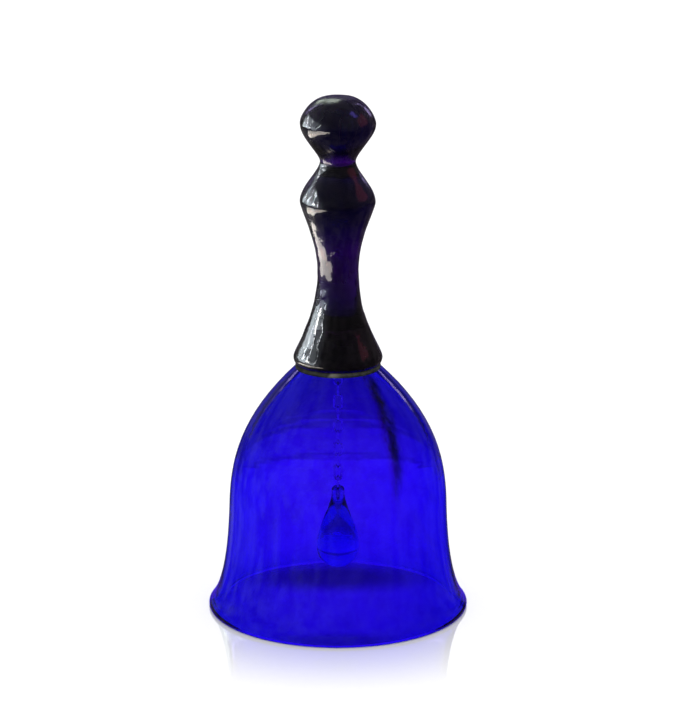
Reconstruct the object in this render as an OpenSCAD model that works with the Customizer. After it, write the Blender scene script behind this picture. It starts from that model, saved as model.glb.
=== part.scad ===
// Hand bell of cobalt glass. A blown bowl with a flared mouth carries a solid glass
// handle, cemented over the bowl's open neck. A wire eye set in the cement holds a fine
// chain, and a glass drop on the chain's end strikes the bowl.
// Millimetres, +Z up the bell's axis, origin at the centre of the mouth on the rim plane.

/* [Bowl] */
// Outer radius of the mouth
mouth_r = 40; // [38:0.5:44]
// Outer radius of the waist, where the flare ends
waist_r = 33.5; // [32:0.5:36]
// Height of the waist above the rim
waist_z = 33; // [28:1:38]
// Outer radius of the shoulder where the handle sits on it
crown_r = 13; // [12.4:0.2:14]
// Height of that place above the rim
crown_z = 76.8; // [75:0.2:78]
// Wall thickness at the waist
wall = 2; // [1.6:0.1:2.6]
// Extra wall thickness at the shoulder, where less of the glass was stretched
crown_extra = 0.6; // [0.2:0.1:1]
// Rounding of the two edges of the rim
lip_r = 0.9; // [0.6:0.1:1.2]
// Width of the flat ground on the rim, on which the bell stands
rim_flat = 0.8; // [0.4:0.1:1.2]
// Outer radius of the neck inside the handle
neck_r = 7; // [6.5:0.25:7.5]
// Radius of the hole through the neck
neck_bore_r = 4.6; // [4:0.2:5]
// Height of the neck's end above the rim
neck_top = 89; // [87:0.5:91]

/* [Handle] */
// Largest radius of the foot
foot_r = 13.6; // [12.6:0.2:15]
// Rounding of the foot's lower edge
foot_round = 2.6; // [2:0.1:3]
// Radius of the slender grip
grip_r = 6.2; // [5.5:0.1:7]
// Height of the grip's thinnest place
grip_z = 108; // [105:1:111]
// Radius of the swelling above the grip
swell_r = 11.45; // [9.5:0.05:13]
// Height of that swelling
swell_z = 128.6; // [126:0.2:131]
// Radius of the groove under the knob
groove_r = 5.4; // [4.5:0.1:6.5]
// Height of that groove
groove_z = 141; // [139:0.5:143]
// Radius of the knob
knob_r = 11.5; // [9.5:0.1:13]
// Height of the knob's widest place
knob_z = 152.6; // [151:0.2:154]
// Radius of the low dome on top of the knob
top_r = 5.6; // [4:0.1:6.5]
// Height of the whole bell
top_z = 160.7; // [159:0.1:162]

/* [Cement] */
// Thickness of the cement between the shoulder and the foot
bed = 0.6; // [0.4:0.05:0.8]
// Radius of the socket in the handle's foot
socket_r = 8; // [7.6:0.1:8.4]

/* [Clapper] */
// Diameter of the wire eye's wire
eye_wire = 1; // [0.8:0.1:1.2]
// Height of the eye's centre above the rim
eye_z = 79.5; // [78.5:0.25:80]
// Mean radius of the eye
eye_r = 1.7; // [1.5:0.1:1.8]
// Diameter of the chain's wire
link_wire = 0.7; // [0.6:0.05:0.8]
// Outer length of a link
link_l = 5.2; // [5:0.1:5.4]
// Outer width of a link
link_w = 3; // [2.9:0.1:3.2]
// Largest radius of the glass drop
drop_r = 6.5; // [5:0.25:8]
// Height of the drop's widest place, where it strikes
strike_z = 19; // [18:0.5:22]
// Height of the drop's lowest point
drop_z = 12.5; // [10:0.5:14]

/* [Hidden] */
// Clear space between two wires that hang in each other
wire_gap = 0.1;
// Number of links in the chain
link_count = 10;
// Outer length of the wire loop in the drop, and how much of it shows
loop_l = 8;
loop_shown = 4;
// Radius of the drop's rounded top
drop_top_r = 1.9;
// Slope of the wall at the rim, in degrees from upright
lip_lean = 38;
// How far the flare keeps that slope, and how far the waist keeps its own above and below
lip_pull = 5.5;
waist_pull_down = 17.5;
waist_pull_up = 12.9;
// Inward lean of the wall at the waist, per millimetre of height
waist_lean = 0.03;
// Slope of the shoulder at the crown, in degrees from level, and how far it is felt
shoulder_rise = 44;
shoulder_pull = 25;
// Height above the rim over which the lip's extra thickness fades
lip_fade = 7;
// Shares of each curve's height that stay near upright, at its lower and upper end
grip_hold = [0.09, 0.6];
swell_hold = [0.45, 0.13];
groove_hold = [0.35, 0.25];
knob_hold = [0.2, 0.33];
drop_hold = [0.4, 0.35];
// How far the knob's side rises upright, and the slope with which it meets the dome
knob_rise = 2.5;
top_pull = [2.9, -1.06];
// Height of the dome, and the share of its radius over which it is nearly level
top_rise = 0.5;
top_level = 0.3;
// Share of its radius by which a quarter of the drop's round bottom is pulled
round_pull = 0.56;
// Turn of the foot's lower rounding, and the part of it that stays clear of cement
foot_turn = 50;
foot_clear = 42;
// Depth of cement above the neck and inside its hole
cement_cap = 1.2;
plug_depth = 6.4;
// Length of the tail that keeps the wire eye from pulling out
tail_l = 5;
// Facets of a full turn and points of a curve
$fn = 96;
steps = 16;

// A point of a cubic curve from a to d, pulled towards b and c
function bend(a, b, c, d, t) =
    pow(1 - t, 3) * a + 3 * pow(1 - t, 2) * t * b + 3 * (1 - t) * t * t * c + pow(t, 3) * d;

// That curve as points. It leaves out its first point, so that curves can be chained.
function curve(a, b, c, d) = [for (i = [1:steps]) bend(a, b, c, d, i / steps)];

// A curve that is upright at both ends, over the shares of its height in hold
function upright(a, d, hold) =
    let (h = d.y - a.y) curve(a, a + [0, hold[0] * h], d - [0, hold[1] * h], d);

// Points on a circle around c, from angle a0 to angle a1
function arc(c, r, a0, a1, n = 8) =
    [for (i = [0:n]) let (a = a0 + (a1 - a0) * i / n) c + r * [cos(a), sin(a)]];

// The unit vector to the left of the way from a to b
function left_of(a, b) = let (d = (b - a) / norm(b - a)) [-d.y, d.x];

// The points in reverse order
function reversed(path) = [for (i = [len(path) - 1:-1:0]) path[i]];

// The shoulder's last stretch is straight, from the crown to the neck
shoulder_dir = [-cos(shoulder_rise), sin(shoulder_rise)];
shoulder_out = [sin(shoulder_rise), cos(shoulder_rise)];

// Height of the straight shoulder at radius r, raised square to it by gap
function shoulder_z(r, gap = 0) =
    crown_z + (gap + (crown_r - r) * shoulder_out.x) / shoulder_out.y;

// The lip: a rounding outside and one inside, with the ground flat between them
lip_out = [mouth_r - lip_r, lip_r];
lip_in = lip_out - [rim_flat, 0];
lip_outer = arc(lip_out, lip_r, -90, lip_lean);
lip_inner = arc(lip_in, lip_r, 180 + lip_lean, 270);

// The bowl's outer line, from the lip over the waist to the crown
waist = [waist_r, waist_z];
crown = [crown_r, crown_z];
lip_end = lip_outer[len(lip_outer) - 1];
lip_dir = [-sin(lip_lean), cos(lip_lean)];
waist_dir = [-waist_lean, 1];
bowl_outer = concat(
    [lip_end],
    curve(lip_end, lip_end + lip_pull * lip_dir, waist - waist_pull_down * waist_dir, waist),
    curve(waist, waist + waist_pull_up * waist_dir, crown - shoulder_pull * shoulder_dir, crown)
);

// Wall thickness at height z: thicker at the lip and towards the crown
lip_wall = 2 * lip_r + rim_flat * cos(lip_lean);
function wall_at(z) =
    wall + (lip_wall - wall) * exp(-z / lip_fade)
    + crown_extra * pow(max(0, z - waist_z) / (crown_z - waist_z), 2);

// The bowl's inner line: the outer one moved in by the wall, above the lip's rounding
bowl_inner = [
    for (i = [1:len(bowl_outer) - 2])
        let (
            inward = left_of(bowl_outer[i - 1], bowl_outer[i + 1]),
            p = bowl_outer[i] + wall_at(bowl_outer[i].y) * inward
        )
            if (p.y > lip_inner[0].y) p
];
crown_inner = crown - (wall + crown_extra) * shoulder_out;
bore_z = crown_inner.y + (crown_inner.x - neck_bore_r) * shoulder_out.x / shoulder_out.y;

// The foot's lower edge, from its widest place to the cement
foot_edge_x = foot_r - foot_round * (1 - cos(foot_turn));
foot_edge = [foot_edge_x, shoulder_z(foot_edge_x, bed)];
foot_z = foot_edge.y + foot_round * sin(foot_turn);
foot_under = arc([foot_r - foot_round, foot_z], foot_round, -foot_clear, 0);
foot_seam = [foot_under[0], foot_edge];
socket_z = shoulder_z(socket_r, bed);
socket_top = neck_top + cement_cap;

// The cement's bead on the shoulder and the lower end of its plug
bead_r = foot_under[0].x + 0.1;
plug_z = neck_top - plug_depth;

// Heights of the hinges: each is the middle of the wire that the next piece hangs on
link_reach = link_l - link_wire;
link_pitch = link_reach - link_wire - wire_gap;
eye_bottom = eye_z - eye_r;
first_top = eye_bottom + (eye_wire + link_wire) / 2 + wire_gap;
function link_top(i) = first_top - (i - 1) * link_pitch;
function link_bottom(i) = link_top(i) - link_reach;
loop_top = link_bottom(link_count) + link_wire + wire_gap;
drop_top = loop_top + link_wire / 2 - loop_shown;

// A closed ring of wire in the XZ plane with straight sides: an eye, a link or a loop.
// Its top bend's centreline is highest at height top.
module wire_ring(wire, width, length, top) {
    bend_r = (width - wire) / 2;
    side = length - width;
    translate([0, 0, top - bend_r])
        rotate([90, 0, 0]) {
            rotate_extrude(angle = 180)
                translate([bend_r, 0])
                    circle(d = wire);
            translate([0, -side, 0])
                rotate([0, 0, 180])
                    rotate_extrude(angle = 180)
                        translate([bend_r, 0])
                            circle(d = wire);
            for (x = [-bend_r, bend_r])
                translate([x, 0, 0])
                    rotate([90, 0, 0])
                        cylinder(d = wire, h = side);
        }
}

// The wire eye's shape, also cut out of the cement around it
module staple_wire() {
    stem_top = neck_top - cement_cap;
    translate([0, 0, eye_z])
        rotate([90, 0, 0])
            rotate_extrude()
                translate([eye_r, 0])
                    circle(d = eye_wire);
    translate([0, 0, eye_z + eye_r])
        cylinder(d = eye_wire, h = stem_top - eye_z - eye_r);
    translate([-tail_l / 2, 0, stem_top])
        rotate([0, 90, 0])
            cylinder(d = eye_wire, h = tail_l);
}

// The clapper's wire loop, also cut out of the drop around it
module loop_wire() {
    turned(link_count + 1)
        wire_ring(link_wire, link_w, loop_l, loop_top);
}

// Every second piece of the chain stands square to the one before
module turned(i) {
    rotate([0, 0, i % 2 == 1 ? 90 : 0])
        children();
}

module bell_bowl() {
    color([0.13, 0.06, 0.9, 0.75])
        rotate_extrude()
            polygon(concat(
                lip_outer,
                bowl_outer,
                [[neck_r, shoulder_z(neck_r)], [neck_r, neck_top]],
                [[neck_bore_r, neck_top], [neck_bore_r, bore_z], crown_inner],
                reversed(bowl_inner),
                lip_inner
            ));
}

module handle() {
    foot = [foot_r, foot_z];
    grip = [grip_r, grip_z];
    swell = [swell_r, swell_z];
    groove = [groove_r, groove_z];
    knob = [knob_r, knob_z];
    top = [0, top_z];
    top_edge = [top_r, top_z - top_rise];
    dome_pull = top_pull * top_rise / top_pull.y;
    color([0.04, 0.03, 0.14])
        rotate_extrude()
            polygon(concat(
                [foot_edge],
                foot_under,
                upright(foot, grip, grip_hold),
                upright(grip, swell, swell_hold),
                upright(swell, groove, groove_hold),
                upright(groove, knob, knob_hold),
                curve(knob, knob + [0, knob_rise], top_edge + top_pull, top_edge),
                curve(top_edge, top_edge + dome_pull, top + [top_level * top_r, 0], top),
                [[0, socket_top], [socket_r, socket_top], [socket_r, socket_z]]
            ));
}

module joint_cement() {
    color([0.2, 0.2, 0.15])
        difference() {
            rotate_extrude()
                polygon(concat(
                    [[bead_r, shoulder_z(bead_r)]],
                    foot_seam,
                    [[socket_r, socket_z], [socket_r, socket_top], [0, socket_top]],
                    [[0, plug_z], [neck_bore_r, plug_z], [neck_bore_r, neck_top]],
                    [[neck_r, neck_top], [neck_r, shoulder_z(neck_r)]]
                ));
            staple_wire();
        }
}

module hanger_staple() {
    color([0.7, 0.68, 0.62])
        staple_wire();
}

module chain_link(i) {
    color([0.76, 0.72, 0.62])
        turned(i)
            wire_ring(link_wire, link_w, link_l, link_top(i));
}

module clapper_loop() {
    color([0.76, 0.72, 0.62])
        loop_wire();
}

module clapper_drop() {
    tip = [0, drop_z];
    tip_pull = [round_pull * drop_r, 0];
    belly = [drop_r, strike_z];
    belly_pull = [0, round_pull * (strike_z - drop_z)];
    bevel = drop_top_r / 3;
    shoulder = [drop_top_r, drop_top - bevel];
    color([0.15, 0.08, 0.85])
        difference() {
            rotate_extrude()
                polygon(concat(
                    [tip],
                    curve(tip, tip + tip_pull, belly - belly_pull, belly),
                    upright(belly, shoulder, drop_hold),
                    [[drop_top_r - bevel, drop_top], [0, drop_top]]
                ));
            loop_wire();
        }
}

bell_bowl();
handle();
joint_cement();
hanger_staple();
for (i = [1:link_count])
    chain_link(i);
clapper_loop();
clapper_drop();
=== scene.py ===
import math

import bmesh
import bpy
import numpy
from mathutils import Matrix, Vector, noise
from mathutils.kdtree import KDTree


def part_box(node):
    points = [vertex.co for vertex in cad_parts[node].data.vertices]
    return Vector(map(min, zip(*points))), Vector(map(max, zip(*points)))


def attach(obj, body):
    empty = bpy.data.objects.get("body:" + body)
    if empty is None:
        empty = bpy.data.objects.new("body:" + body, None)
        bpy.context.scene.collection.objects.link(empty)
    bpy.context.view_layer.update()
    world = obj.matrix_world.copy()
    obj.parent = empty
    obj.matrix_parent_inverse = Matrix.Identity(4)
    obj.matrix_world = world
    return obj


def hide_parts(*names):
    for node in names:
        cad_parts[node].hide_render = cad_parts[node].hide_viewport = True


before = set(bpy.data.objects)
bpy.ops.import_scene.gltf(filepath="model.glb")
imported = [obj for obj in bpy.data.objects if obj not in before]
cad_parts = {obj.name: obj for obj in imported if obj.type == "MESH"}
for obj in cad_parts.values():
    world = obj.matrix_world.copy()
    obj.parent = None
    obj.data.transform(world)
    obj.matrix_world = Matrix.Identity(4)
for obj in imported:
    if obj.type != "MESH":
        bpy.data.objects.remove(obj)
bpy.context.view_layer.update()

MM = 0.001
FULL_TURN = 2 * math.pi

# The chain's CAD nodes, from the top one down
LINKS = [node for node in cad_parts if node.startswith("chain_link_")]
LINKS.sort(key=lambda node: int(node.split("_")[-1]))


# ---------------------------------------------------------------- turned shapes

AROUND = 180  # faces around a glass piece
RING_MEMBERS = 24  # fewest vertices that make a ring of a turned CAD surface
SAME_PLACE = 0.004 * MM  # vertices closer than this lie on one ring
CORNER = math.radians(24)  # an outline that turns more than this at a point has a corner there
LEVEL = 0.2  # an outline that climbs less than this, per radius, meets the axis squarely
DRAWN_UP = 0.65  # how much closer together heights count than widths, in waves of hot glass
CALM_CORE = 5 * MM  # distance from the axis within which the waves die out


def rings_of(node):
    """The rings of a turned CAD node as (radius, height), and which of them are joined."""
    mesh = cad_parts[node].data
    places = [Vector((math.hypot(v.co.x, v.co.y), v.co.z, 0)) for v in mesh.vertices]
    tree = KDTree(len(places))
    for i, place in enumerate(places):
        tree.insert(place, i)
    tree.balance()
    ring_at = [None] * len(places)
    rings = []
    for i, place in enumerate(places):
        if ring_at[i] is None:
            members = [j for _, j, _ in tree.find_range(place, SAME_PLACE) if ring_at[j] is None]
            for j in members:
                ring_at[j] = len(rings)
            rings.append((place.x, place.y, len(members)))
    kept = {k for k, (r, _, count) in enumerate(rings) if count >= RING_MEMBERS or r < SAME_PLACE}
    joined = {k: set() for k in kept}
    for edge in mesh.edges:
        a, b = (ring_at[v] for v in edge.vertices)
        if a != b and a in kept and b in kept:
            joined[a].add(b)
            joined[b].add(a)
    return {k: rings[k][:2] for k in kept}, joined


def cad_outline(node, smallest=0):
    """The cross-section of a turned CAD node from its lowest ring on, and whether it closes.

    Rings under the smallest radius are left out, and an open outline ends on the axis."""
    rings, joined = rings_of(node)
    rings = {k: place for k, place in rings.items() if place[0] >= smallest and joined[k]}
    joined = {k: {n for n in joined[k] if n in rings} for k in rings}
    ends = [k for k in rings if len(joined[k]) == 1]
    closed = not ends
    start = min(ends or rings, key=lambda k: rings[k][1])
    path = [start]
    while True:
        ahead = [k for k in joined[path[-1]] if k not in path]
        if not ahead:
            break
        path.append(min(ahead, key=lambda k: abs(rings[k][1] - rings[path[-1]][1])))
    outline = [rings[k] for k in path]
    if not closed:
        outline = [(0.0, outline[0][1])] * (outline[0][0] > SAME_PLACE) + outline
        outline = outline + [(0.0, outline[-1][1])] * (outline[-1][0] > SAME_PLACE)
    return outline, closed


def turn_at(a, b, c):
    """How far a path turns at b."""
    before = Vector((b[0] - a[0], b[1] - a[1]))
    after = Vector((c[0] - b[0], c[1] - b[1]))
    return before.angle(after, 0.0)


def spline(points, spacing):
    """A smooth path through the points, about spacing between its own points."""
    points = numpy.array(points)
    steps = numpy.linalg.norm(numpy.diff(points, axis=0), axis=1)
    at = numpy.concatenate([[0], numpy.cumsum(steps)])
    count = len(points)
    gap = numpy.diff(at)
    system = numpy.eye(count)
    right = numpy.zeros_like(points)
    slope = numpy.diff(points, axis=0) / gap[:, None]
    for i in range(1, count - 1):
        system[i, i - 1 : i + 2] = gap[i - 1], 2 * (gap[i - 1] + gap[i]), gap[i]
        right[i] = 6 * (slope[i] - slope[i - 1])
    bend = numpy.linalg.solve(system, right)
    path = []
    for i in range(count - 1):
        parts = max(1, round(gap[i] / spacing))
        for k in range(parts):
            b = gap[i] * k / parts
            a = at[i + 1] - (at[i] + b)
            path.append(
                (bend[i] * a**3 + bend[i + 1] * b**3) / (6 * gap[i])
                + (points[i] / gap[i] - bend[i] * gap[i] / 6) * a
                + (points[i + 1] / gap[i] - bend[i + 1] * gap[i] / 6) * b
            )
    return [tuple(p) for p in path] + [tuple(points[-1])]


def finer(outline, closed, spacing):
    """The outline with smooth curves between its corners."""
    ring = outline if not closed else outline + outline[:1]
    wrap = outline[-1:] + ring + outline[1:2]
    corners = [0]
    for i in range(1, len(ring) - 1):
        if turn_at(ring[i - 1], ring[i], ring[i + 1]) > CORNER:
            corners.append(i)
    corners.append(len(ring) - 1)
    if closed and turn_at(wrap[0], wrap[1], wrap[2]) <= CORNER and len(corners) > 2:
        shift = corners[1]
        return finer(outline[shift:] + outline[:shift], True, spacing)
    low, high = min(z for _, z in outline), max(z for _, z in outline)
    path = []
    for start, end in zip(corners, corners[1:]):
        run = ring[start : end + 1]
        on_axis = len(run) > 2 and run[0][0] < SAME_PLACE
        if on_axis and abs(run[1][1] - run[0][1]) < LEVEL * run[1][0]:
            extra = [(-r, z) for r, z in reversed(run[1:4])]
            whole = spline(extra + run, spacing)
            run = [p for p in whole if p[0] >= 0]
            run[0] = (0.0, run[0][1])
        else:
            run = spline(run, spacing)
        path += run[:-1]
    if not closed:
        path.append(ring[-1])
    return [(max(r, 0.0), min(max(z, low), high)) for r, z in path]


def object_from(name, mesh_data):
    """A new smooth-shaded object from a bmesh, which it frees."""
    bmesh.ops.recalc_face_normals(mesh_data, faces=mesh_data.faces)
    mesh = bpy.data.meshes.new(name)
    mesh_data.to_mesh(mesh)
    mesh_data.free()
    mesh.shade_smooth()
    piece = bpy.data.objects.new(name, mesh)
    bpy.context.scene.collection.objects.link(piece)
    return piece


def spin(name, outline, closed, shape=None):
    """A closed mesh turned from an outline. shape moves each point a little."""
    made = bmesh.new()
    rings = []
    for radius, height in outline:
        if radius < SAME_PLACE:
            corners = [Vector((0, 0, height))]
        else:
            angles = [FULL_TURN * i / AROUND for i in range(AROUND)]
            corners = [Vector((radius * math.cos(a), radius * math.sin(a), height)) for a in angles]
        rings.append([made.verts.new(shape(p) if shape else p) for p in corners])
    pairs = list(zip(rings, rings[1:])) + [(rings[-1], rings[0])] * closed
    for lower, upper in pairs:
        for i in range(AROUND):
            j = (i + 1) % AROUND
            below = [lower[i % len(lower)], lower[j % len(lower)]]
            above = [upper[j % len(upper)], upper[i % len(upper)]]
            made.faces.new(list(dict.fromkeys(below + above)))
    return object_from(name, made)


def fade(value, start, end):
    """0 up to start, 1 from end on, and smooth between them."""
    t = min(max((value - start) / (end - start), 0.0), 1.0)
    return t * t * (3 - 2 * t)


def hand_made(point, waves, seed, strength=1.0):
    """The point moved out from the axis by uneven waves, given as depths and lengths.

    They are longer up the axis, as hot glass is drawn that way, and die out close to it."""
    out = Vector((point.x, point.y, 0)).normalized() * fade(point.xy.length, 0, CALM_CORE)
    drawn = Vector((point.x, point.y, DRAWN_UP * point.z))
    start = Vector((seed, 0, 0))
    moved = sum(depth * noise.noise(drawn / length + start) for depth, length in waves)
    return point + out * moved * strength


# ---------------------------------------------------------------- wires

WIRE_SIDES = 16  # faces around a wire
LINK_STEPS = 72  # faces along a link
SEAM_SWELL = 0.10  # how much thicker the wire is at its soldered seam
SEAM_LENGTH = 0.018  # half length of the seam, as a share of the ring's length


def tube(name, centres, radius_at, closed):
    """A tube of round section along the centres, closed on itself or with round ends."""
    made = bmesh.new()
    count = len(centres)
    rings = []
    side = None
    for i, centre in enumerate(centres):
        before = centres[i - 1] if closed or i > 0 else centre
        after = centres[(i + 1) % count] if closed or i < count - 1 else centre
        along = (after - before).normalized()
        side = along.orthogonal() if side is None else side - along * side.dot(along)
        side.normalize()
        across = along.cross(side)
        radius = radius_at(i / count)
        angles = [FULL_TURN * k / WIRE_SIDES for k in range(WIRE_SIDES)]
        ring = [centre + radius * (math.cos(a) * side + math.sin(a) * across) for a in angles]
        rings.append([made.verts.new(p) for p in ring])
    for lower, upper in list(zip(rings, rings[1:])) + [(rings[-1], rings[0])] * closed:
        for k in range(WIRE_SIDES):
            m = (k + 1) % WIRE_SIDES
            made.faces.new([lower[k], lower[m], upper[m], upper[k]])
    if not closed:
        made.faces.new(rings[0])
        made.faces.new(rings[-1])
    return object_from(name, made)


def ring_path(node):
    """Centres along a ring of wire with straight sides, and its wire's radius, from its box.

    The path starts in the middle of one straight side."""
    low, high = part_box(node)
    size = high - low
    wire = min(size.x, size.y)
    wide = Vector((1, 0, 0)) if size.x > size.y else Vector((0, 1, 0))
    bend = (max(size.x, size.y) - wire) / 2
    side = size.z - wire - 2 * bend
    middle = (low + high) / 2
    length = 2 * side + FULL_TURN * bend
    path = []
    for i in range(LINK_STEPS):
        s = length * i / LINK_STEPS
        half, across = (s, 1) if s < length / 2 else (s - length / 2, -1)
        if half < side / 2:
            x, z = bend, half
        elif half < side / 2 + math.pi * bend:
            angle = (half - side / 2) / bend
            x, z = bend * math.cos(angle), side / 2 + bend * math.sin(angle)
        else:
            x, z = -bend, side + math.pi * bend - half
        path.append(middle + across * (x * wide + Vector((0, 0, z))))
    return path, wire / 2


def wire_ring(node, name):
    """A ring of drawn wire whose two ends meet in a small soldered seam."""
    path, radius = ring_path(node)

    def radius_at(t):
        away = min(t, 1 - t) / SEAM_LENGTH
        return radius * (1 + SEAM_SWELL * math.exp(-away * away))

    return tube(name, path, radius_at, closed=True)


# ---------------------------------------------------------------- materials


class Nodes:
    """A material or world with short ways to add nodes to it."""

    def __init__(self, owner):
        owner.use_nodes = True
        self.owner = owner
        self.tree = owner.node_tree
        self.tree.nodes.clear()

    def add(self, kind, inputs=(), **settings):
        node = self.tree.nodes.new(kind)
        for name, value in settings.items():
            setattr(node, name, value)
        for socket, value in dict(inputs).items():
            self.put(node.inputs[socket], value)
        return node

    def put(self, socket, value):
        if isinstance(value, bpy.types.NodeSocket):
            self.tree.links.new(value, socket)
        else:
            socket.default_value = value

    def math(self, operation, *values):
        node = self.add("ShaderNodeMath", operation=operation)
        for socket, value in zip(node.inputs, values):
            self.put(socket, value)
        return node.outputs[0]

    def ramp(self, value, low, high, out_low=0.0, out_high=1.0):
        """value from low..high mapped smoothly to out_low..out_high."""
        inputs = {"Value": value, "From Min": low, "From Max": high}
        inputs |= {"To Min": out_low, "To Max": out_high}
        return self.add("ShaderNodeMapRange", inputs, interpolation_type="SMOOTHSTEP").outputs[0]

    def mix(self, factor, a, b, blend="MIX"):
        """From a to b by the factor; the inputs are the node's colour sockets."""
        node = self.add("ShaderNodeMix", data_type="RGBA", blend_type=blend)
        self.put(node.inputs[0], factor)
        self.put(node.inputs[6], a)
        self.put(node.inputs[7], b)
        return node.outputs[2]

    def place(self):
        return self.add("ShaderNodeTexCoord").outputs["Object"]

    def generated(self):
        return self.add("ShaderNodeTexCoord").outputs["Generated"]

    def parts(self, vector):
        """A vector's x, y and z."""
        return self.add("ShaderNodeSeparateXYZ", {"Vector": vector}).outputs[:]

    def noise(self, scale, detail=2.0, roughness=0.5, vector=None, stretch=None):
        vector = vector or self.place()
        if stretch:
            vector = self.add("ShaderNodeMapping", {"Vector": vector, "Scale": stretch}).outputs[0]
        inputs = {"Vector": vector, "Scale": scale, "Detail": detail, "Roughness": roughness}
        return self.add("ShaderNodeTexNoise", inputs).outputs[0]

    def bump(self, height, distance, strength=1.0):
        inputs = {"Height": height, "Distance": distance, "Strength": strength}
        return self.add("ShaderNodeBump", inputs).outputs[0]

    def finish(self, surface, volume=None):
        output = self.add("ShaderNodeOutputMaterial", {"Surface": surface})
        if volume:
            self.put(output.inputs["Volume"], volume)


def distance(nodes, *spans):
    """Distance from a middle, for spans of (coordinate, middle, half size)."""
    total = 0.0
    for value, middle, half in spans:
        share = nodes.math("DIVIDE", nodes.math("SUBTRACT", value, middle), half)
        total = nodes.math("ADD", total, nodes.math("POWER", share, 2.0))
    return nodes.math("SQRT", total)


GLASS_IOR = 1.52
SKIN_ROUGHNESS = 0.03
CLEAR = (1, 1, 1, 1)
DULL = (0.12, 0.12, 0.15, 1)  # how much the cloudy glass mirrors by itself

# Tints of the bowl, on top of the colour that its glass takes
SWIRL = (0.9, 0.88, 0.97, 1)
THIN_WALL = (0.84, 0.95, 1.0, 1)  # of the lower wall, where the glass was stretched
CLOUD = (0.8, 0.66, 0.84, 1)
STREAK = (0.92, 0.8, 0.92, 1)
# A painted reflection down the right shoulder: reddish at its left, near black at its right
REFLECTED_STREAK_LEFT = (1.0, 0.25, 0.26, 1)
REFLECTED_STREAK_RIGHT = (0.03, 0.035, 0.03, 1)

# Tints of the handle
DEEP = (0.6, 0.5, 0.55, 1)
VIOLET = (1.0, 0.5, 0.85, 1)
DEEP_BLUE = (0.7, 0.6, 1.0, 1)
PAINTED_SHADE_OVER_CEMENT = (0.2, 0.15, 0.2, 1)  # painted shade of the socket, and fading out above it
WRINKLE_DEPTH = 7.0  # of the wrinkles, in depths of the handle's waves
WRINKLED = (  # x, z and half sizes of the wrinkled patches on the handle's front
    (0.3 * MM, 125 * MM, 5.2 * MM, 2.4 * MM),
    (0.0, 114.2 * MM, 2.8 * MM, 2 * MM),
)


def absorption(nodes, red, green, blue):
    """Glass that takes these shares of each colour per metre, as exponents."""
    density = max(red, green, blue)
    colour = (1 - red / density, 1 - green / density, 1 - blue / density, 1)
    return nodes.add("ShaderNodeVolumeAbsorption", {"Color": colour, "Density": density}).outputs[0]


def slow_waves(nodes, scale):
    """Long waves drawn up the wall, with much lower short ones on them."""
    waves = nodes.noise(scale, detail=1.5, stretch=(1, 1, 0.6))
    short = nodes.math("MULTIPLY", nodes.noise(scale * 6, detail=1), 0.12)
    return nodes.math("ADD", waves, short)


def tooled_marks(nodes, scale):
    """Waves, fine ripples, and two small patches where the skin of the glass has wrinkled."""
    ripples = nodes.noise(620, detail=2, stretch=(1, 1, 0.5))
    height = nodes.math("ADD", slow_waves(nodes, scale), ripples)
    x, y, z = nodes.parts(nodes.place())
    wrinkles = nodes.math("SUBTRACT", nodes.noise(720, detail=1, stretch=(1, 1, 1.6)), 0.5)
    for at_x, at_z, half_x, half_z in WRINKLED:
        away = distance(nodes, (x, at_x, half_x), (z, at_z, half_z))
        in_front = nodes.math("LESS_THAN", y, 0.0)
        patch = nodes.math("MULTIPLY", nodes.ramp(away, 0.1, 1.3, 1.0, 0.0), in_front)
        skin = nodes.math("MULTIPLY", nodes.math("MULTIPLY", wrinkles, patch), WRINKLE_DEPTH)
        height = nodes.math("ADD", height, skin)
    return height


def glass(name, taken, tint, relief, waviness, wave_scale, smoothest, roughest, skin=0.0):
    """Hand-worked glass: an uneven tint, faint smears and waves.

    With a skin it is cloudy glass under a glossy coat."""
    material = bpy.data.materials.new(name)
    nodes = Nodes(material)
    smears = nodes.noise(90, detail=5, stretch=(1, 1, 0.35))
    roughness = nodes.ramp(smears, 0.42, 0.72, smoothest, roughest)
    normal = nodes.bump(relief(nodes, wave_scale), waviness)
    shader = nodes.add(
        "ShaderNodeBsdfPrincipled",
        {
            "Base Color": tint(nodes),
            "Roughness": roughness,
            "IOR": GLASS_IOR,
            "Transmission Weight": 1.0,
            "Normal": normal,
        },
    )
    if skin:
        shader.inputs["Coat Weight"].default_value = skin
        shader.inputs["Coat Roughness"].default_value = SKIN_ROUGHNESS
        shader.inputs["Specular Tint"].default_value = DULL
        nodes.put(shader.inputs["Coat Normal"], normal)
    nodes.finish(shader.outputs[0], absorption(nodes, *taken))
    return material


def deep_tint(nodes):
    """Nearly black, with violet and blue patches where the glass is a little clearer.

    Painted shade darkens it towards the cement, which lets no light through."""
    patches = nodes.noise(150, detail=3, roughness=0.6, stretch=(1, 1, 0.55))
    streaks = nodes.noise(420, detail=2, stretch=(1, 1, 0.2))
    violet = nodes.mix(nodes.ramp(patches, 0.46, 0.66), DEEP, VIOLET)
    clearer = nodes.mix(nodes.ramp(streaks, 0.52, 0.74), violet, DEEP_BLUE)
    height = nodes.parts(nodes.place())[2]
    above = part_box("joint_cement")[1].z
    # Painted shade over the cement, fading out above it
    return nodes.mix(nodes.ramp(height, above - 2 * MM, above + 14 * MM), PAINTED_SHADE_OVER_CEMENT, clearer)


def even_tint(nodes):
    """Nearly clear, with slow swirls of slightly deeper glass."""
    swirl = nodes.noise(45, detail=3, stretch=(1, 1, 0.4))
    return nodes.mix(nodes.ramp(swirl, 0.4, 0.8, 0.0, 1.0), CLEAR, SWIRL)


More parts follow.
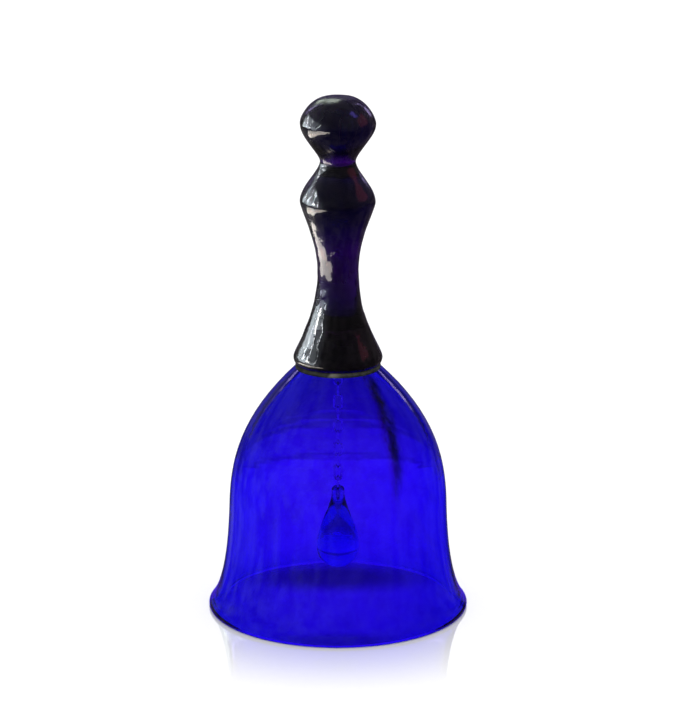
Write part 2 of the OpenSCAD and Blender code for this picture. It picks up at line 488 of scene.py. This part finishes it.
def mottled_tint(nodes):
    """The swirls, with small pale and violet clouds and a few streaks drawn up the wall."""
    height = nodes.parts(nodes.place())[2]
    wall = nodes.mix(nodes.ramp(height, 38 * MM, 64 * MM), THIN_WALL, CLEAR)
    clouds = nodes.ramp(nodes.noise(130, detail=4, roughness=0.6), 0.42, 0.72)
    streaks = nodes.ramp(nodes.noise(260, detail=2, stretch=(1, 1, 0.12)), 0.5, 0.8)
    cloudy = nodes.mix(clouds, even_tint(nodes), CLOUD)
    return nodes.mix(1.0, nodes.mix(streaks, cloudy, STREAK), wall, "MULTIPLY")


def bowl_tint(nodes):
    """Mottled glass with a painted reflection in its shoulder: one long dark streak, reddish at its left.
    """
    top, foot = 76 * MM, 38 * MM  # heights between which the painted reflection runs
    angle_top, angle_foot = 43.0, 33.0  # degrees round from the front towards +X
    width_top, width_foot = 11.0, 3.6  # half its width, in degrees
    sway = 7.0
    x, y, z = nodes.parts(nodes.place())
    angle = nodes.math("DEGREES", nodes.math("ARCTAN2", x, nodes.math("MULTIPLY", y, -1.0)))
    middle = nodes.ramp(z, foot, top, angle_foot, angle_top)
    swing = nodes.math("MULTIPLY", nodes.math("SUBTRACT", nodes.noise(55, detail=1), 0.5), sway)
    offset = nodes.math("SUBTRACT", nodes.math("ADD", angle, swing), middle)
    share = nodes.math("DIVIDE", offset, nodes.ramp(z, foot, top, width_foot, width_top))
    across = nodes.ramp(nodes.math("ABSOLUTE", share), 0.2, 1.0, 1.0, 0.0)
    frayed = nodes.ramp(nodes.noise(330, detail=3, stretch=(1, 1, 0.15)), 0.35, 0.6, 0.45, 1.0)
    length = nodes.math("MULTIPLY", nodes.ramp(z, foot - 4 * MM, foot + 20 * MM), frayed)
    amount = nodes.math("MULTIPLY", length, across)
    # The painted reflection's colour, reddish at its left and near black at its right
    painted_reflection = nodes.mix(nodes.ramp(share, -0.75, 0.1), REFLECTED_STREAK_LEFT, REFLECTED_STREAK_RIGHT)
    return nodes.mix(amount, mottled_tint(nodes), painted_reflection)


def silver_wire():
    """Drawn plated wire: fine scratches along it and a little dark tarnish."""
    material = bpy.data.materials.new("plated_wire")
    nodes = Nodes(material)
    tarnish = nodes.ramp(nodes.noise(700, detail=4), 0.48, 0.72)
    scratches = nodes.noise(5200, detail=2, stretch=(1, 1, 0.15))
    shader = nodes.add(
        "ShaderNodeBsdfPrincipled",
        {
            "Base Color": nodes.mix(tarnish, (0.9, 0.9, 0.89, 1), (0.62, 0.6, 0.56, 1)),
            "Metallic": 1.0,
            "Roughness": nodes.ramp(scratches, 0.3, 0.7, 0.16, 0.34),
            "Normal": nodes.bump(scratches, 0.01 * MM, 0.5),
        },
    )
    nodes.finish(shader.outputs[0])
    return material


def cement_paste():
    """Olive cement with sand and paler specks, a painted cream highlight at its left, and painted shade
    that makes it near black under the glass.
    """
    material = bpy.data.materials.new("dark_cement")
    nodes = Nodes(material)
    sand = nodes.noise(2600, detail=4, roughness=0.7)
    patches = nodes.noise(420, detail=3)
    base = nodes.mix(nodes.ramp(patches, 0.35, 0.7), (0.01, 0.011, 0.008, 1), (0.04, 0.042, 0.028, 1))
    open_paste = nodes.mix(nodes.ramp(sand, 0.62, 0.75), base, (0.12, 0.115, 0.08, 1))
    x, y, _ = nodes.parts(nodes.place())
    # A painted cream highlight, in patches, on the cement's left side
    highlight_patches = nodes.ramp(nodes.noise(160, detail=3), 0.44, 0.6)
    painted_highlight = nodes.math("MULTIPLY", highlight_patches, nodes.ramp(x, -9 * MM, 3 * MM, 1.0, 0.0))
    open_paste = nodes.mix(painted_highlight, open_paste, (0.42, 0.4, 0.3, 1))
    away = distance(nodes, (x, 0.0, 1.0), (y, 0.0, 1.0))
    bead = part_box("joint_cement")[1].x
    # Painted shade: near black where the glass foot covers the cement
    shaded_under_glass = nodes.mix(nodes.ramp(patches, 0.35, 0.7), (0.003, 0.003, 0.006, 1), (0.008, 0.007, 0.012, 1))
    colour = nodes.mix(nodes.ramp(away, bead - 1.4 * MM, bead - 0.6 * MM), shaded_under_glass, open_paste)
    shader = nodes.add(
        "ShaderNodeBsdfPrincipled",
        {
            "Base Color": colour,
            "Roughness": nodes.ramp(sand, 0.3, 0.7, 0.65, 0.9),
            "Normal": nodes.bump(sand, 0.06 * MM),
        },
    )
    nodes.finish(shader.outputs[0])
    return material


# How much red, green and blue each glass takes out of light, per metre
BOWL_TAKES = (800, 1280, 15)
HANDLE_TAKES = (330, 800, 190)
DROP_TAKES = (120, 170, 3)


# ---------------------------------------------------------------- the bell's pieces

OUTLINE_STEP = 0.55 * MM  # length of a face along a glass piece's outline
DROP_STEP = 0.35 * MM  # the same for the small drop
CEMENT_BOND = 0.04 * MM  # how far the cement reaches into the glass, so that no gap shows
CEMENT_GRAIN = 0.9 * MM
CREEP = 0.35 * MM  # how far the drop's glass has crept up its loop

# Depths and lengths of the uneven waves in each glass piece
BOWL_WAVES = [(0.22 * MM, 26 * MM)]
HANDLE_WAVES = [(0.2 * MM, 14 * MM), (0.17 * MM, 5 * MM), (0.08 * MM, 2.2 * MM)]
DROP_WAVES = [(0.12 * MM, 9 * MM)]


def dress(piece, material, body, slot, *nodes):
    """Gives a piece its material and its body, and hides the CAD nodes that it stands for. The slot is not
    used.
    """
    piece.data.materials.clear()
    piece.data.materials.append(material)
    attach(piece, body)
    if nodes:
        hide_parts(*nodes)


def bowl_piece():
    outline, closed = cad_outline("bell_bowl")
    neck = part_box("joint_cement")[0].z

    def shape(point):
        free = fade(point.z, 0, 6 * MM) * (1 - fade(point.z, neck - 8 * MM, neck - 2 * MM))
        return hand_made(point, BOWL_WAVES, 3.0, free)

    piece = spin("glass_bowl", finer(outline, closed, OUTLINE_STEP), closed, shape)
    material = glass("cobalt_bowl_glass", BOWL_TAKES, bowl_tint, slow_waves, 0.08 * MM, 40, 0.02, 0.06)
    dress(piece, material, "bell", "bowl_glass", "bell_bowl")


def handle_piece():
    outline, closed = cad_outline("handle")
    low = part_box("handle")[0]

    def shape(point):
        free = fade(point.z, low.z + 4 * MM, low.z + 12 * MM)
        return hand_made(point, HANDLE_WAVES, 7.0, free)

    piece = spin("glass_handle", finer(outline, closed, OUTLINE_STEP), closed, shape)
    material = glass(
        "deep_cobalt_glass", HANDLE_TAKES, deep_tint, tooled_marks, 0.08 * MM, 90, 0.2, 0.34, skin=1.0
    )
    dress(piece, material, "bell", "handle_glass", "handle")
    return piece


def cement_piece():
    outline, closed = cad_outline("joint_cement", smallest=1 * MM)

    def shape(point):
        wave = noise.noise(point / CEMENT_GRAIN) * 0.03 * MM
        off_axis = point.xy.length > SAME_PLACE
        out = Vector((point.x, point.y, 0)).normalized() if off_axis else Vector()
        return point + out * (CEMENT_BOND + wave)

    piece = spin("cement_joint", finer(outline, closed, OUTLINE_STEP), closed, shape)
    dress(piece, cement_paste(), "bell", "cement", "joint_cement")


def drop_piece():
    outline, closed = cad_outline("clapper_drop")
    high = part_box("clapper_drop")[1]
    legs, leg_radius = ring_path("clapper_loop")
    spread = max(abs(p.y) for p in legs)

    def shape(point):
        """Glass has crept a little way up both legs of the loop."""
        reach = min((Vector((0, y)) - point.xy).length for y in (-spread, spread))
        near_leg = 1 - fade(reach, leg_radius, leg_radius + 0.6 * MM)
        creep = near_leg * fade(point.z, high.z - 0.8 * MM, high.z)
        return hand_made(point, DROP_WAVES, 12.0) + Vector((0, 0, CREEP * creep))

    piece = spin("glass_drop", finer(outline, closed, DROP_STEP), closed, shape)
    material = glass("drop_glass", DROP_TAKES, even_tint, slow_waves, 0.05 * MM, 120, 0.02, 0.05)
    dress(piece, material, "clapper", "drop_glass", "clapper_drop")


def chain_pieces(wire):
    made = []
    for node in LINKS:
        number = node.split("_")[-1]
        piece = wire_ring(node, "wire_link_" + number)
        dress(piece, wire, "link_" + number, "wire", node)
        made.append(piece)
    loop = wire_ring("clapper_loop", "drop_loop")
    dress(loop, wire, "clapper", "wire", "clapper_loop")
    return made + [loop]


def eye_piece(wire):
    """The wire eye keeps its CAD shape and gets the plated wire's finish."""
    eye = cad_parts["hanger_staple"]
    eye.data.materials.clear()
    eye.data.materials.append(wire)
    return eye


wire = silver_wire()
bowl_piece()
handle = handle_piece()
cement_piece()
drop_piece()
chain = chain_pieces(wire)
eye = eye_piece(wire)


# ---------------------------------------------------------------- floor, light and camera

DAYLIGHT = 1.25  # of the pale room on the floor and behind the bell
SEEN_THROUGH = 1.05  # of the same room where glass shows it
LIT_THROUGH = 1.7  # of the same room on the floor inside the bell
TURNED_BACK = 0.16  # share of it that glass shows after a reflection in its own wall
SHADE_LEFT = (0.09, 0.085, 0.085, 1)  # what glass mirrors where there is no window
SHADE_RIGHT = (0.045, 0.035, 0.042, 1)
SHADE_BEHIND = (0.06, 0.05, 0.085, 1)
DOORWAYS = (1.05, 0.85, 1.7, 1)  # two narrow bright gaps behind the bell
DOORWAY_AT = 143.0  # how far round each is from the front, in degrees
SKYLIGHT = (1.15, 1.3, 1.1, 1)
SKYLIGHT_AT = -163.0

RIM_GLOW = (0.12, 0.05, 0.8, 1)  # painted blue glow of the table close to the rim, as the glass mirrors it
TABLE_EDGE = 156 * MM  # where the pale table ends behind the bell, as glass shows it
TABLE_SHADOWS = (  # middle, half sizes and depth of the painted soft shadows that glass shows on it
    (24 * MM, 27 * MM, 13 * MM, 0.66),
    (-34 * MM, 20 * MM, 6 * MM, 0.35),
)
TABLE_HALF = 3.0
GLOSS = 0.36  # of the table at the rim
GLOSS_SPAN = (36 * MM, 84 * MM)  # distances from the axis over which it fades to nothing
MIRROR_SPAN = (15 * MM, 45 * MM)  # distances over which the glass stops mirroring the table


def table_tone(nodes, x, y):
    """How light the table looks through the glass: darker past its far edge, with a painted shade line
    along it, and painted soft shadows on it.
    """
    beyond = nodes.ramp(y, TABLE_EDGE, TABLE_EDGE + 8 * MM, 1.0, 0.78)
    far = nodes.ramp(y, TABLE_EDGE + 25 * MM, TABLE_EDGE + 85 * MM, 1.0, 0.55)
    # A painted shade line along the table's far edge
    from_edge = nodes.math("ABSOLUTE", nodes.math("SUBTRACT", y, TABLE_EDGE + 4 * MM))
    edge = nodes.ramp(from_edge, 1 * MM, 6 * MM, 0.66, 1.0)
    tone = nodes.math("MULTIPLY", nodes.math("MULTIPLY", beyond, far), edge)
    for middle, half_x, half_y, depth in TABLE_SHADOWS:
        away = distance(nodes, (x, 0.0, half_x), (y, middle, half_y))
        tone = nodes.math("MULTIPLY", tone, nodes.ramp(away, 0.3, 1.4, 1 - depth, 1.0))
    return tone


def pale_floor():
    """A matt pale table with a faint gloss that is only strong enough to see near the rim."""
    made = bmesh.new()
    signs = ((-1, -1), (1, -1), (1, 1), (-1, 1))
    made.faces.new([made.verts.new((x * TABLE_HALF, y * TABLE_HALF, 0)) for x, y in signs])
    floor = object_from("floor", made)
    nodes = Nodes(bpy.data.materials.new("pale_floor"))
    x, y, _ = nodes.parts(nodes.place())
    away = distance(nodes, (x, 0.0, 1.0), (y, 0.0, 1.0))
    path = nodes.add("ShaderNodeLightPath").outputs
    grain = nodes.ramp(nodes.noise(400, detail=3), 0.3, 0.7, 0.915, 0.925)
    mirrored = nodes.math("SUBTRACT", path["Is Glossy Ray"], path["Is Transmission Ray"])
    tone = nodes.mix(path["Is Transmission Ray"], CLEAR, table_tone(nodes, x, y))
    tone = nodes.mix(mirrored, tone, RIM_GLOW)
    colour = nodes.mix(1.0, tone, grain, "MULTIPLY")
    matt = nodes.add("ShaderNodeBsdfDiffuse", {"Color": colour}).outputs[0]
    gloss = nodes.add("ShaderNodeBsdfGlossy", {"Color": CLEAR, "Roughness": 0.0}).outputs[0]
    near_rim = nodes.ramp(away, *GLOSS_SPAN, GLOSS, 0.0)
    shine = nodes.math("MULTIPLY", near_rim, path["Is Camera Ray"])
    top = nodes.add("ShaderNodeMixShader", {0: shine, 1: matt, 2: gloss}).outputs[0]
    under = nodes.add("ShaderNodeNewGeometry").outputs["Backfacing"]
    distant = nodes.ramp(path["Ray Length"], *MIRROR_SPAN)
    unseen = nodes.math("MAXIMUM", under, nodes.math("MULTIPLY", mirrored, distant))
    open_side = nodes.add("ShaderNodeBsdfTransparent").outputs[0]
    seen = nodes.add("ShaderNodeMixShader", {0: unseen, 1: top, 2: open_side}).outputs[0]
    nodes.finish(seen)
    floor.data.materials.append(nodes.owner)


def grey(value):
    return (value, value, value, 1)


def band(nodes, value, middle, half, soft):
    """1 within half of the middle, and smoothly 0 beyond soft more."""
    away = nodes.math("ABSOLUTE", nodes.math("SUBTRACT", value, middle))
    return nodes.ramp(away, half, half + soft, 1.0, 0.0)


def mirrored_room(nodes):
    """What the glass mirrors: a dim cluttered room, lighter at the left.

    Behind the bell it has two bright doorways and a patch of sky."""
    x, y, z = nodes.parts(nodes.generated())
    angle = nodes.math("DEGREES", nodes.math("ARCTAN2", x, nodes.math("MULTIPLY", y, -1.0)))
    sides = nodes.mix(nodes.ramp(x, -0.9, 0.5, 1.0, 0.0), SHADE_RIGHT, SHADE_LEFT)
    room = nodes.mix(nodes.ramp(y, 0.86, 0.97), sides, SHADE_BEHIND)
    doorway = band(nodes, nodes.math("ABSOLUTE", angle), DOORWAY_AT, 1.0, 3.0)
    doorways = nodes.math("MULTIPLY", doorway, band(nodes, z, 0.45, 0.22, 0.12))
    room = nodes.mix(doorways, room, DOORWAYS)
    skylight = band(nodes, angle, SKYLIGHT_AT, 14.0, 10.0)
    sky = nodes.math("MULTIPLY", skylight, band(nodes, z, 0.6, 0.2, 0.12))
    room = nodes.mix(sky, room, SKYLIGHT)
    clutter = nodes.noise(4.5, detail=4, roughness=0.65, vector=nodes.generated())
    return nodes.mix(1.0, room, nodes.ramp(clutter, 0.36, 0.68, 0.3, 2.4), "MULTIPLY")


def room_light():
    """An even pale room. Glass shows it as it is, and mirrors it as a much darker one."""
    world = bpy.data.worlds.new("room")
    bpy.context.scene.world = world
    nodes = Nodes(world)
    path = nodes.add("ShaderNodeLightPath").outputs
    through, glossy = path["Is Transmission Ray"], path["Is Glossy Ray"]
    after_floor = nodes.math("GREATER_THAN", path["Diffuse Depth"], 0.5)
    once = nodes.math("GREATER_THAN", path["Glossy Depth"], 0.5)
    one_wall = nodes.math("LESS_THAN", path["Transmission Depth"], 3.5)
    turned = nodes.math("MULTIPLY", once, one_wall)
    glass_shows = nodes.mix(turned, grey(SEEN_THROUGH), grey(SEEN_THROUGH * TURNED_BACK))
    glass_shows = nodes.mix(after_floor, glass_shows, grey(LIT_THROUGH))
    direct = nodes.mix(through, grey(DAYLIGHT), glass_shows)
    soft = nodes.math("SUBTRACT", 1.0, path["Is Singular Ray"])
    outside = nodes.math("MULTIPLY", glossy, nodes.math("SUBTRACT", 1.0, through))
    mirrors = nodes.math("MULTIPLY", outside, soft)
    colour = nodes.mix(mirrors, direct, mirrored_room(nodes))
    background = nodes.add("ShaderNodeBackground", {"Color": colour}).outputs[0]
    nodes.add("ShaderNodeOutputWorld", {"Surface": background})


def lit_only(light, pieces):
    """Lets a light reach only these pieces."""
    group = bpy.data.collections.new(light.name + "_receivers")
    for piece in pieces:
        group.objects.link(piece)
    light.light_linking.receiver_collection = group


def panel(name, at, facing, size, brightness, colour, pieces):
    """A soft rectangular light of even brightness, seen only in the pieces' gloss."""
    data = bpy.data.lights.new(name, "AREA")
    data.shape = "RECTANGLE"
    data.size, data.size_y = size
    data.energy = brightness * size[0] * size[1] * math.pi
    data.color = colour
    light = bpy.data.objects.new(name, data)
    bpy.context.scene.collection.objects.link(light)
    light.location = at
    light.rotation_euler = facing.to_track_quat("-Z", "Y").to_euler()
    light.visible_camera = False
    light.visible_transmission = False
    light.visible_diffuse = False
    lit_only(light, pieces)


INWARD = Vector((1, 0, 0))  # from the window at the left towards the bell
UP = Vector((0, 0, 1))
GRIP = Vector((0, 0, 0.12))  # what the two lights at the right point at
WINDOW_X = -0.42
PANE = (0.17, 0.13)
BAR = 0.02  # width of the window's bars
WINDOW_CORNER = (-0.48, 0.14)  # y and z of the middle of the lowest, nearest pane
ROW_PEAKS = (6.0, 2.0)  # brightness of the lower and the upper row
BRIGHTEST_AT, BRIGHT_SPREAD = 0.1, 0.26  # where the window is brightest, and how fast that falls
CURTAIN_GAPS = ((-0.2, 0.2), (-0.01, 0.26), (0.12, 0.22), (0.24, 0.27))  # y and z of their middles
IN_FRONT_OF_PANES = 0.01


def window_panes(pieces):
    """Two rows of five panes, brightest a little behind the bell."""
    for column in range(5):
        for row, peak in enumerate(ROW_PEAKS):
            y = WINDOW_CORNER[0] + column * (PANE[0] + BAR)
            z = WINDOW_CORNER[1] + row * (PANE[1] + BAR)
            bright = peak * math.exp(-(((y - BRIGHTEST_AT) / BRIGHT_SPREAD) ** 2))
            at = Vector((WINDOW_X, y, z))
            panel(f"window_{column}_{row}", at, INWARD, PANE, bright, (0.84, 0.94, 1.0), pieces)


def windows():
    """A window at the left with sun and curtain gaps in it, the lit table, two lights at the right."""
    hard_pieces = [handle, eye, *chain]
    window_panes(hard_pieces)
    before_panes = WINDOW_X + IN_FRONT_OF_PANES
    sunny = Vector((before_panes, -0.04, 0.165))
    panel("sunny_patch", sunny, INWARD, (0.075, 0.06), 20.0, (1.0, 0.99, 0.96), hard_pieces)
    for number, (y, z) in enumerate(CURTAIN_GAPS):
        gap = Vector((before_panes, y, z))
        panel(f"curtain_gap_{number}", gap, INWARD, (0.013, 0.2), 22.0, (0.9, 0.96, 1.0), hard_pieces)
    table = Vector((-0.29, -0.08, 0.002))
    panel("table_light", table, UP, (0.26, 0.4), 6.0, (1.0, 0.94, 0.84), hard_pieces)
    stripe = Vector((-0.2, -0.1, 0.004))
    panel("table_stripe", stripe, UP, (0.022, 0.3), 2.5, (1.0, 0.42, 0.18), hard_pieces)
    warm = Vector((0.40, 0.0, 0.33))
    panel("warm_side", warm, GRIP - warm, (0.3, 0.2), 0.34, (1.0, 0.16, 0.3), hard_pieces)
    blue = Vector((0.24, -0.06, 0.5))
    panel("blue_side", blue, GRIP - blue, (0.1, 0.1), 2.6, (0.2, 0.14, 1.0), hard_pieces)


CAMERA_AWAY = 1.1  # from the bell's axis
CAMERA_HEIGHT = 0.4012
CAMERA_PITCH = 16.24  # degrees below level
CAMERA_LENS, CAMERA_SENSOR = 191.3, 36  # millimetres, as Blender takes them


def camera():
    """Seen from the front and a little above, from far enough to look almost flat."""
    data = bpy.data.cameras.new("camera")
    data.lens, data.sensor_width = CAMERA_LENS, CAMERA_SENSOR
    viewer = bpy.data.objects.new("camera", data)
    bpy.context.scene.collection.objects.link(viewer)
    viewer.location = (0, -CAMERA_AWAY, CAMERA_HEIGHT)
    viewer.rotation_euler = (math.radians(90 - CAMERA_PITCH), 0, 0)
    bpy.context.scene.camera = viewer


pale_floor()
room_light()
windows()
camera()
bpy.context.scene.view_settings.view_transform = "Standard"
bpy.context.scene.cycles.transmission_bounces = 16
bpy.context.scene.cycles.max_bounces = 20
